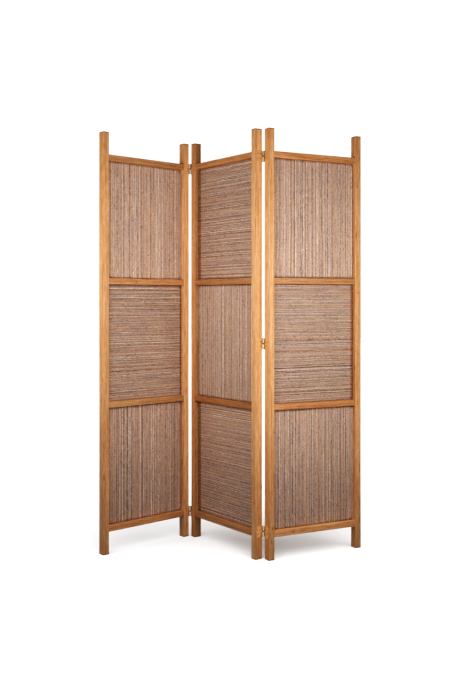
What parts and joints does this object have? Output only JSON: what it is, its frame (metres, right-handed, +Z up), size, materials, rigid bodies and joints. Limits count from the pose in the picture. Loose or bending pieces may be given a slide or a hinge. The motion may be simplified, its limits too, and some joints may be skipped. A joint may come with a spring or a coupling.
{
  "type": "folding room divider screen",
  "caption": "Folding room divider screen: hinged timber panels, each a frame of posts and rails filled with recessed mats of fine natural strands, standing in a zigzag.",
  "frame": {"origin": "on the floor, at the centre of the box that the standing screen fills in plan", "axes": "+Z up along the posts; +X along the standing screen from its left end to its right end; the front of the screen faces -Y"},
  "size_m": [1.1341, 0.4322, 1.8],
  "materials": {
    "post_wood": "oiled, satin, honey-coloured teak",
    "rail_wood": "oiled, satin, honey-coloured teak",
    "bead_wood": "plain, sanded",
    "strand_mat": "matte natural plant strands",
    "hinge_brass": "satin, lightly aged",
    "screw_steel": "satin, aged",
    "nail_steel": "plain"
  },
  "bodies": {
    "panel_left": {"left_outer_post": "post_wood", "left_inner_post": "post_wood", "left_top_rail": "rail_wood", "left_upper_rail": "rail_wood", "left_lower_rail": "rail_wood", "left_bottom_rail": "rail_wood", "left_top_mat": "strand_mat", "left_centre_mat": "strand_mat", "left_bottom_mat": "strand_mat", "left_top_beads": "bead_wood", "left_centre_beads": "bead_wood", "left_bottom_beads": "bead_wood", "left_bead_nails": "nail_steel", "left_fold_top_left_leaf": "hinge_brass", "left_fold_bottom_left_leaf": "hinge_brass", "left_fold_left_screws": "screw_steel"},
    "panel_middle": {"middle_left_post": "post_wood", "middle_right_post": "post_wood", "middle_top_rail": "rail_wood", "middle_upper_rail": "rail_wood", "middle_lower_rail": "rail_wood", "middle_bottom_rail": "rail_wood", "middle_top_mat": "strand_mat", "middle_centre_mat": "strand_mat", "middle_bottom_mat": "strand_mat", "middle_top_beads": "bead_wood", "middle_centre_beads": "bead_wood", "middle_bottom_beads": "bead_wood", "middle_bead_nails": "nail_steel", "left_fold_top_right_leaf": "hinge_brass", "left_fold_top_pin": "hinge_brass", "left_fold_bottom_right_leaf": "hinge_brass", "left_fold_bottom_pin": "hinge_brass", "right_fold_top_left_leaf": "hinge_brass", "right_fold_top_pin": "hinge_brass", "right_fold_middle_left_leaf": "hinge_brass", "right_fold_middle_pin": "hinge_brass", "right_fold_bottom_left_leaf": "hinge_brass", "right_fold_bottom_pin": "hinge_brass", "left_fold_right_screws": "screw_steel", "right_fold_left_screws": "screw_steel"},
    "panel_right": {"right_inner_post": "post_wood", "right_outer_post": "post_wood", "right_top_rail": "rail_wood", "right_upper_rail": "rail_wood", "right_lower_rail": "rail_wood", "right_bottom_rail": "rail_wood", "right_top_mat": "strand_mat", "right_centre_mat": "strand_mat", "right_bottom_mat": "strand_mat", "right_top_beads": "bead_wood", "right_centre_beads": "bead_wood", "right_bottom_beads": "bead_wood", "right_bead_nails": "nail_steel", "right_fold_top_right_leaf": "hinge_brass", "right_fold_middle_right_leaf": "hinge_brass", "right_fold_bottom_right_leaf": "hinge_brass", "right_fold_right_screws": "screw_steel"}
  },
  "joints": [
    {"name": "left_fold", "type": "hinge", "parent": "panel_middle", "child": "panel_left", "pos_m": [-0.16526, 0.18659, 0.9], "axis": [0, 0, 1], "range_deg": [-91.5, 88.5]},
    {"name": "right_fold", "type": "hinge", "parent": "panel_middle", "child": "panel_right", "pos_m": [0.11977, -0.1808, 0.9], "axis": [0, 0, 1], "range_deg": [-76, 104]}
  ]
}
